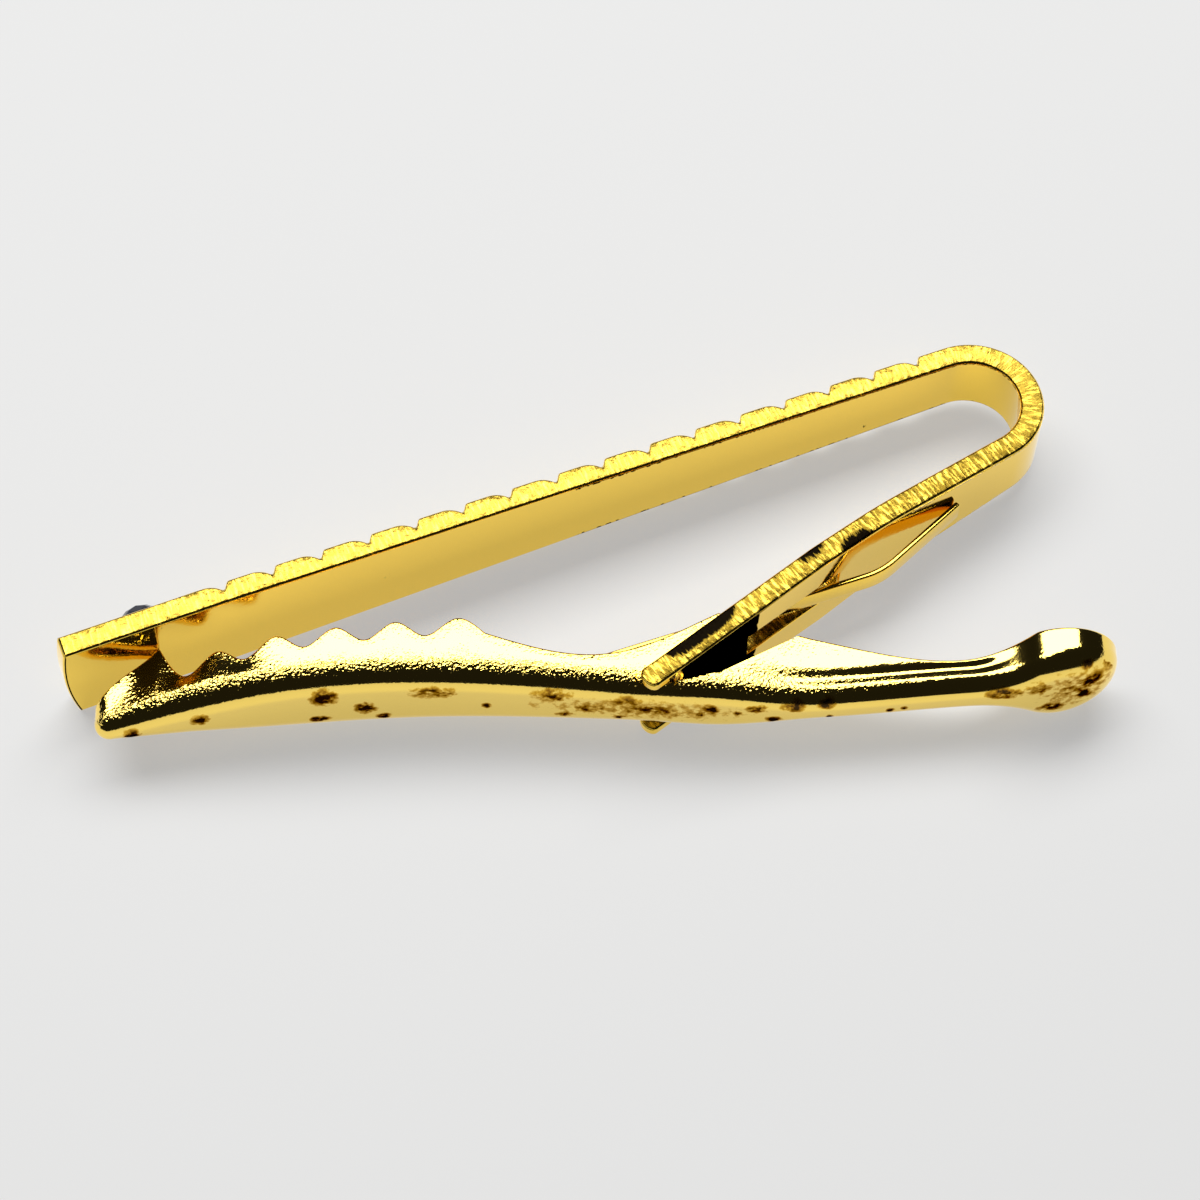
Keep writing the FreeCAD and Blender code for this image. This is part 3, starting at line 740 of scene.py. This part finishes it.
def lever_stain(ring, outer_count):
    """How tarnished each point is: the strongest of the stains' bell curves, on the outer back alone."""
    stain = np.zeros(ring.shape[:2])
    stains = [(*stain_place(across, down), *size) for across, down, *size in STAINS]
    for x, z, long, wide, strength in stains + HAZES:
        far = ((ring[..., 0] - x) / long) ** 2 + ((ring[..., 2] - z) / wide) ** 2
        stain = np.maximum(stain, strength * np.exp(-far / 2))
    stain[:, outer_count:] = 0
    return stain * (ring[..., 1] < lever_back(ring[..., 0]) + LEVER_GAUGE)


def lever_grain(ring):
    """How pebbled each point is: most at the pressed corners, least on the back, and fading to the pad."""
    wall = np.interp(np.linspace(0, 1, WALL_STEPS), *WALL_GRAIN)
    corner = np.interp(np.linspace(0, 90, CORNER_STEPS + 1), *CORNER_GRAIN)
    half = np.concatenate([wall, corner, np.full(WEB_STEPS, WEB_GRAIN)])
    inside = np.full(ring.shape[1] - 2 * len(half) + 1, INSIDE_GRAIN)
    return np.concatenate([half, half[-2::-1], inside]) * np.interp(ring[..., 0], *GRAIN_ALONG)


def make_lever(material):
    """The pressed channel: two skins joined over crowned rims, with the arm's notch cut out."""
    outer = lever_skin(0, WALL_STEPS, CORNER_STEPS, WEB_STEPS)
    inner = lever_skin(LEVER_GAUGE, *INSIDE_STEPS)
    turn = np.linspace(0, math.pi / 2, RIM_STEPS + 1)[1:]
    near = RIM_CROWN / LEVER_GAUGE * (1 - np.cos(turn))
    share = np.concatenate([near, 1 - near[::-1]])[:, None, None]
    rise = RIM_CROWN * np.concatenate([np.sin(turn), np.sin(turn[::-1])])
    crown = rise[:, None, None] * np.array([0, 1, 0])
    rim_a = outer[:, 0] + (inner[:, 0] - outer[:, 0]) * share + crown
    rim_b = inner[:, -1] + (outer[:, -1] - inner[:, -1]) * share + crown
    ring = np.concatenate([outer[:, ::-1], rim_a.swapaxes(0, 1), inner, rim_b.swapaxes(0, 1)], 1)
    values = {"stain": lever_stain(ring, outer.shape[1]), "grain": lever_grain(ring)}
    points = place_lever(ring.reshape(-1, 3))
    piece = make_piece("pressed_lever", points, ring_faces(ring), material, values)
    merge_doubles(piece, LEVER_MERGE)
    cut_away(piece, notch_cutter())
    return piece


# Leaf spring

def rounded_path(corners, radius, step):
    """Straight runs between corners, each corner swept by an arc of one radius, with points every step."""
    corners = np.asarray(corners, float)
    ways = np.diff(corners, axis=0)
    ways /= np.linalg.norm(ways, axis=1)[:, None]
    path = [corners[:1]]
    for corner, before, after in zip(corners[1:-1], ways[:-1], ways[1:]):
        turn = math.acos(float(np.clip(before @ after, -1, 1)))
        back = radius * math.tan(turn / 2)
        side = after - before * (before @ after)
        side /= np.linalg.norm(side)
        angle = np.linspace(0, turn, LEAF_ARC_STEPS + 1)[:, None]
        path.append(corner - before * back + radius * (before * np.sin(angle) + side * (1 - np.cos(angle))))
    path = np.vstack(path + [corners[-1:]])
    run = np.concatenate([[0], np.cumsum(np.linalg.norm(np.diff(path, axis=0), axis=1))])
    even = np.unique(np.concatenate([run, np.arange(0, run[-1], step)]))
    return np.stack([np.interp(even, run, path[:, k]) for k in (0, 1)], 1)


def leaf_corners():
    """Corners of the leaf's middle line: free end on the arm, knee, then heel and toe on the web."""
    half = LEAF_GAUGE / 2
    off = HALF_GAUGE + LEAF_GAP + half
    tip = beside_strip(np.array([STRIP_KNOTS[3] - LEAF_TIP_RUN]), off, 0)[0, :2]
    knee = beside_strip(np.array([PIVOT_RUN - LEAF_KNEE_AT]), HALF_GAUGE + LEAF_KNEE_LIFT, 0)[0, :2]
    foot_x = np.array([-LEAF_FOOT_AT, -LEAF_FOOT_AT - LEAF_FOOT_LENGTH])
    along = np.linspace(foot_x[1], foot_x[0], LEAF_FOOT_SAMPLES)
    foot_y = lever_back(along).max() + LEVER_GAUGE + LEAF_GAP + half
    foot = place_lever(np.stack([foot_x, np.full(2, foot_y), np.zeros(2)], 1))[:, :2]
    return np.vstack([tip, knee, foot])


def make_leaf(corners, material):
    """A ribbon: a flat section with rounded edges carried along the leaf's middle line."""
    path = rounded_path(corners, LEAF_KNEE_RADIUS, LEAF_STEP)
    way = np.gradient(path, axis=0)
    way /= np.linalg.norm(way, axis=1)[:, None]
    out = np.stack([-way[:, 1], way[:, 0]], 1)
    turn = np.linspace(0, math.pi / 2, LEAF_SOFT_STEPS + 1)
    corner = np.stack([np.cos(turn), np.sin(turn)], 1) * LEAF_SOFT
    quarter = np.array([LEAF_WIDTH / 2, LEAF_GAUGE / 2]) - LEAF_SOFT + corner
    section = np.vstack([quarter, quarter[::-1] * [-1, 1], -quarter, quarter[::-1] * [1, -1]])
    flat = path[:, None, :] + out[:, None, :] * section[None, :, 1:]
    height = np.broadcast_to(MID_HEIGHT + section[None, :, 0], flat.shape[:2])
    points = np.concatenate([flat, height[..., None]], -1)
    first = np.arange(len(section))
    last = first[::-1] + (len(path) - 1) * len(section)
    faces = ring_faces(points) + [first.tolist(), last.tolist()]
    piece = make_piece("spring_leaf", points.reshape(-1, 3), faces, material)
    merge_doubles(piece, RING_MERGE)
    round_edges(piece, LEAF_END_ROUND, LEAF_END_ANGLE, LEAF_END_STEPS)
    return piece


# Stone and collet

def on_panel(radius, turn, level):
    """Points about the stone's axis, standing so far out of the front face."""
    place = [radius * np.cos(turn), HALF_GAUGE + level, MID_HEIGHT + radius * np.sin(turn)]
    return np.stack(np.broadcast_arrays(*place), -1)


def make_collet(material):
    """A turned cup: a profile of floor, wall and rolled rim carried round the stone's axis."""
    wall = (COLLET_RIM - COLLET_BORE) / 2
    bend = np.linspace(0, math.pi, COLLET_RIM_STEPS + 1)
    rim_r = COLLET_BORE + wall + wall * np.cos(bend)
    rim_h = COLLET_HEIGHT - wall + wall * np.sin(bend)
    profile_r = np.concatenate([[0, COLLET_RIM], rim_r, [COLLET_BORE, 0]])[:, None]
    profile_h = np.concatenate([[0, 0], rim_h, [COLLET_FLOOR, COLLET_FLOOR]])[:, None]
    turn = np.linspace(0, 2 * math.pi, COLLET_STEPS + 1)[None, :-1]
    points = on_panel(profile_r, turn, profile_h)
    piece = make_piece("turned_collet", points.reshape(-1, 3), ring_faces(points), material)
    merge_doubles(piece, RING_MERGE)
    return piece


def make_stone(material):
    """A flat-backed stone cut in eight: table, star, kite and girdle facets between rings of corners."""
    side = np.arange(STONE_SIDES)
    corner = np.arange(2 * STONE_SIDES)
    step = 2 * math.pi / STONE_SIDES
    base = COLLET_FLOOR + STONE_PAVILION
    crown = base + STONE_GIRDLE
    rings = [
        on_panel(STONE_TABLE, side * step, crown + STONE_CROWN),
        on_panel(STONE_STAR, (side + 0.5) * step, crown + STONE_STAR_RISE),
        on_panel(STONE_RADIUS, corner * step / 2, crown),
        on_panel(STONE_RADIUS, corner * step / 2, base),
        on_panel(STONE_RADIUS - STONE_PAVILION, corner * step / 2, COLLET_FLOOR + STONE_LIFT),
    ]
    table, star, girdle, lower, flat = np.cumsum([0] + [len(ring) for ring in rings[:-1]])
    table_next = table + (side + 1) % len(side)
    star_last = star + (side - 1) % len(side)
    below, between = girdle + 2 * side, girdle + 2 * side + 1
    after = girdle + (2 * side + 2) % len(corner)
    follow = (corner + 1) % len(corner)
    facets = [
        [table + side, table_next, star + side],
        [table + side, star + side, below, star_last],
        [star + side, between, below],
        [star + side, after, between],
        [girdle + corner, girdle + follow, lower + follow, lower + corner],
        [lower + corner, lower + follow, flat + follow, flat + corner],
    ]
    faces = [(table + side[::-1]).tolist()]
    for facet in facets:
        faces += np.stack(facet, 1).tolist()
    faces.append((flat + corner).tolist())
    piece = make_piece("cut_stone", np.vstack(rings), faces, material, smooth=False)
    work = bmesh.new()
    work.from_mesh(piece.data)
    bmesh.ops.recalc_face_normals(work, faces=work.faces)
    work.to_mesh(piece.data)
    work.free()
    return piece


# Materials

GOLD = (0.95, 0.65, 0.09)
PALE_GOLD = (0.95, 0.69, 0.15)
WORN_GOLD = (0.17, 0.11, 0.011)
# Near black for the painted shade on the arm where it runs into the lever
PAINTED_SHADE_GOLD = (0.003, 0.002, 0.001)
HALO = (0.66, 0.38, 0.03)
BROWN = (0.3, 0.14, 0.012)
TARNISH = (0.05, 0.026, 0.008)
STONE_BLUE = (0.006, 0.009, 0.03)
STONE_BLACK = (0.002, 0.003, 0.01)
STONE_SHINE = 0.03

# Fineness of each pattern, and the depth of its marks in millimetres
SHEAR_FINENESS = 6.0
SHEAR_DEPTH = 0.06
SATIN_FINENESS = 2500.0
SATIN_DEPTH = 0.01
ARM_SHADE_FINENESS = 1100.0
PEBBLE_FINENESS = 7000.0
PEBBLE_DEPTH = 0.06
TARNISH_FINENESS = 2600.0
DRAWN_FINENESS = (300.0, 300.0, 9000.0)
DRAWN_DEPTH = 0.01
CLOUD_FINENESS = 900.0


def new_material(name, colour, metallic, roughness):
    """A material whose even values sit on the shader itself."""
    material = bpy.data.materials.new(name)
    material.use_nodes = True
    shader = material.node_tree.nodes["Principled BSDF"]
    shader.inputs["Base Color"].default_value = (*colour, 1)
    shader.inputs["Metallic"].default_value = metallic
    shader.inputs["Roughness"].default_value = roughness
    return material, material.node_tree, shader


def add(tree, kind, inputs=None, **settings):
    """A node with its settings, and values or links for its inputs."""
    node = tree.nodes.new("ShaderNode" + kind)
    for key, value in settings.items():
        setattr(node, key, value)
    for key, value in (inputs or {}).items():
        if isinstance(value, bpy.types.NodeSocket):
            tree.links.new(value, node.inputs[key])
        else:
            node.inputs[key].default_value = value
    return node


def math_node(tree, operation, *values):
    """The outcome of one sum on sockets or numbers."""
    return add(tree, "Math", dict(enumerate(values)), operation=operation).outputs[0]


def point_value(tree, name):
    """A value that the mesh carries at each of its points."""
    return add(tree, "Attribute", attribute_name=name).outputs["Fac"]


def noise(tree, place, scale, detail, roughness=0.5):
    """Cloudy values between 0 and 1 about a place."""
    inputs = {"Vector": place, "Scale": scale, "Detail": detail, "Roughness": roughness}
    return add(tree, "TexNoise", inputs).outputs["Fac"]


def spread(tree, value, low, high):
    """A value between 0 and 1 moved to a new range."""
    return add(tree, "MapRange", {"Value": value, "To Min": low, "To Max": high}).outputs[0]


def ramp(tree, factor, stops):
    """A colour ramp over a value; stops are place and grey level, or place and colour."""
    node = add(tree, "ValToRGB", {"Fac": factor})
    ends = node.color_ramp.elements
    while len(ends) < len(stops):
        ends.new(0.5)
    for end, (place, level) in zip(ends, stops):
        end.position = place
        end.color = (*level, 1) if isinstance(level, tuple) else (level, level, level, 1)
    return node.outputs["Color"]


def mix(tree, factor, colour, other):
    """A colour that turns into another as a factor goes from 0 to 1."""
    return add(tree, "Mix", {"Factor": factor, "A": colour, "B": other}, data_type="RGBA").outputs["Result"]


def bump(tree, height, depth, strength, **under):
    """Normals over marks of a depth in millimetres, on the plain surface or on the normals under them."""
    inputs = {"Height": height, "Distance": depth * MM, "Strength": strength, **under}
    return add(tree, "Bump", inputs).outputs[0]


def strip_gold():
    """Polished plate: mirror flats, satin cut edges with shear marks, and near-black painted shade on the
    arm's cut edge and face by the lever.
    """
    material, tree, shader = new_material("polished_gold", GOLD, metallic=1, roughness=0.1)
    coords = add(tree, "TexCoord")
    place = coords.outputs["Object"]
    facing = add(tree, "SeparateXYZ", {0: coords.outputs["Normal"]}).outputs["Z"]
    level = math_node(tree, "ABSOLUTE", facing)
    cut = ramp(tree, level, [(0.75, 0.0), (0.95, 1.0)])
    up = ramp(tree, facing, [(0.6, 0.0), (0.9, 1.0)])
    aside = ramp(tree, level, [(0.3, 1.0), (0.6, 0.0)])
    offset = point_value(tree, "offset")
    along = math_node(tree, "MULTIPLY", point_value(tree, "run"), SHEAR_FINENESS)
    across = add(tree, "CombineXYZ", {"X": along, "Y": offset}).outputs[0]
    shear = noise(tree, across, scale=1.0, detail=5.0, roughness=0.6)
    satin = noise(tree, place, SATIN_FINENESS, detail=5.0)

    worn = ramp(tree, shear, [(0.48, 1.0), (0.64, 0.0)])
    worn = math_node(tree, "MULTIPLY", worn, point_value(tree, "hatched"))
    worn = math_node(tree, "MULTIPLY", worn, cut)
    # Painted shade: near black on the arm's cut edge and on its face inside the lever, with a ragged rim
    # and weaker edge reflection
    ragged = spread(tree, noise(tree, place, ARM_SHADE_FINENESS, detail=4.0), -0.9, 0.9)
    arm_shade = math_node(tree, "MULTIPLY_ADD", point_value(tree, "arm_shade"), 1.4, ragged)
    arm_shade = math_node(tree, "MULTIPLY", arm_shade, aside)
    dark = math_node(tree, "MULTIPLY_ADD", point_value(tree, "edge_shade"), up, arm_shade)
    dark = math_node(tree, "ADD", dark, spread(tree, shear, -0.5, 0.5))
    colour = mix(tree, worn, (*GOLD, 1), (*WORN_GOLD, 1))
    colour = mix(tree, ramp(tree, dark, [(0.55, 0.0), (0.65, 1.0)]), colour, (*PAINTED_SHADE_GOLD, 1))
    tree.links.new(colour, shader.inputs["Base Color"])
    tree.links.new(ramp(tree, dark, [(0.55, 1.0), (0.65, 0.0)]), shader.inputs["Specular Tint"])
    rough = math_node(tree, "MULTIPLY_ADD", cut, 0.2, spread(tree, satin, 0.05, 0.1))
    tree.links.new(rough, shader.inputs["Roughness"])

    crown = math_node(tree, "POWER", math_node(tree, "DIVIDE", offset, HALF_GAUGE), 2.0)
    marks = math_node(tree, "ADD", math_node(tree, "SUBTRACT", shear, crown), satin)
    marks = math_node(tree, "MULTIPLY", marks, cut)
    marked = bump(tree, marks, SHEAR_DEPTH, strength=0.8)
    tree.links.new(bump(tree, satin, SATIN_DEPTH, strength=0.4, Normal=marked), shader.inputs["Normal"])
    return material


def lever_gold():
    """Pressed and plated metal with a pebbled skin, and brown tarnish where the plate has worn."""
    material, tree, shader = new_material("pebbled_gold", PALE_GOLD, metallic=1, roughness=0.1)
    place = add(tree, "TexCoord").outputs["Object"]
    broken = spread(tree, noise(tree, place, TARNISH_FINENESS, detail=3.0, roughness=0.55), -0.5, 2.5)
    stain = math_node(tree, "MULTIPLY", point_value(tree, "stain"), broken)
    colour = ramp(tree, stain, [(0.2, PALE_GOLD), (0.3, HALO), (0.5, BROWN), (0.72, TARNISH)])
    tree.links.new(colour, shader.inputs["Base Color"])
    tree.links.new(ramp(tree, stain, [(0.26, 1.0), (0.6, 0.0)]), shader.inputs["Specular Tint"])
    tree.links.new(spread(tree, stain, 0.08, 0.3), shader.inputs["Roughness"])
    pebble = noise(tree, place, PEBBLE_FINENESS, detail=1.0)
    pebble = math_node(tree, "MULTIPLY", pebble, point_value(tree, "grain"))
    tree.links.new(bump(tree, pebble, PEBBLE_DEPTH, strength=0.9), shader.inputs["Normal"])
    return material


def leaf_gold():
    """Smooth rolled strip, with faint drawing lines along it."""
    material, tree, shader = new_material("rolled_gold", GOLD, metallic=1, roughness=0.1)
    place = add(tree, "TexCoord").outputs["Object"]
    stretched = add(tree, "VectorMath", {0: place, 1: DRAWN_FINENESS}, operation="MULTIPLY").outputs[0]
    drawn = noise(tree, stretched, scale=1.0, detail=3.0)
    tree.links.new(spread(tree, drawn, 0.06, 0.18), shader.inputs["Roughness"])
    tree.links.new(bump(tree, drawn, DRAWN_DEPTH, strength=0.5), shader.inputs["Normal"])
    return material


def dark_glass():
    """Near-black blue glass, with faint cloudy depth."""
    material, tree, shader = new_material("dark_glass", STONE_BLUE, metallic=0, roughness=0.03)
    place = add(tree, "TexCoord").outputs["Object"]
    cloud = noise(tree, place, CLOUD_FINENESS, detail=3.0)
    colour = ramp(tree, cloud, [(0.35, STONE_BLACK), (0.7, STONE_BLUE)])
    tree.links.new(colour, shader.inputs["Base Color"])
    shader.inputs["Specular IOR Level"].default_value = STONE_SHINE
    return material


# Pieces

def settle(piece, body, node):
    """Seats a piece on its body, in place of one solid."""
    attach(piece, body)
    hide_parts(node)


gold = strip_gold()
settle(make_strip(gold), "strip_body", "front_strip")
settle(make_collet(gold), "strip_body", "stone_collet")
settle(make_stone(dark_glass()), "strip_body", "stone")
settle(make_lever(lever_gold()), "lever_body", "lever")
leaf_line = leaf_corners()
leaf = make_leaf(leaf_line, leaf_gold())
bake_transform(leaf)
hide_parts("leaf_spring")

# View
look_at = Vector(LOOK_AT) * MM
camera_at = Vector(CAMERA_AT) * MM
camera_data = bpy.data.cameras.new("camera")
camera_data.angle = math.radians(CAMERA_FIELD)
camera_data.clip_start = CAMERA_NEAR
camera = into_scene("camera", camera_data)
camera.location = camera_at
camera.rotation_euler = (look_at - camera_at).to_track_quat("-Z", "Y").to_euler()
bpy.context.scene.camera = camera

# Stage: a white table under one softbox beyond the clip, in a dim room
SOFTBOX_WAY = Vector((0, 0.5, 0.866))
SOFTBOX_FAR = 0.5
SOFTBOX_ASIDE = 0.065
SOFTBOX_SIZE = (0.71, 0.28)
SOFTBOX_RADIANCE = 5.5
ROOM = 0.012
TABLE_REACH = 1.0
TABLE_GREY = (0.36, 0.36, 0.355)
TABLE_GLOW = 0.44
TABLE_GLOW_IN_METAL = 0.6


def make_table():
    """A wide pale table, brighter where it is seen straight or in the metal."""
    corners = [(x * TABLE_REACH, y * TABLE_REACH, 0) for x, y in ((-1, -1), (1, -1), (1, 1), (-1, 1))]
    mesh = bpy.data.meshes.new("table")
    mesh.from_pydata(corners, [], [(0, 1, 2, 3)])
    material, tree, shader = new_material("white_table", TABLE_GREY, metallic=0, roughness=0.6)
    seen = add(tree, "LightPath")
    straight = math_node(tree, "MULTIPLY", seen.outputs["Is Camera Ray"], TABLE_GLOW)
    glow = math_node(tree, "MULTIPLY_ADD", seen.outputs["Is Glossy Ray"], TABLE_GLOW_IN_METAL, straight)
    shader.inputs["Emission Color"].default_value = (1, 1, 1, 1)
    tree.links.new(glow, shader.inputs["Emission Strength"])
    mesh.materials.append(material)
    table = into_scene("table", mesh)


def make_softbox():
    """An evenly lit rectangle beyond the clip and above it."""
    lamp = bpy.data.lights.new("softbox", "AREA")
    lamp.shape = "RECTANGLE"
    lamp.size, lamp.size_y = SOFTBOX_SIZE
    lamp.energy = SOFTBOX_RADIANCE * math.pi * SOFTBOX_SIZE[0] * SOFTBOX_SIZE[1]
    softbox = into_scene("softbox", lamp)
    softbox.location = look_at + SOFTBOX_WAY * SOFTBOX_FAR + Vector((SOFTBOX_ASIDE, 0, 0))
    softbox.rotation_euler = SOFTBOX_WAY.to_track_quat("Z", "Y").to_euler()


def make_room():
    """Even dim light from all round."""
    world = bpy.data.worlds.new("room")
    bpy.context.scene.world = world
    world.use_nodes = True
    world.node_tree.nodes["Background"].inputs["Color"].default_value = (1, 1, 1, 1)
    world.node_tree.nodes["Background"].inputs["Strength"].default_value = ROOM


make_table()
make_softbox()
make_room()
bpy.context.scene.view_settings.view_transform = "Standard"
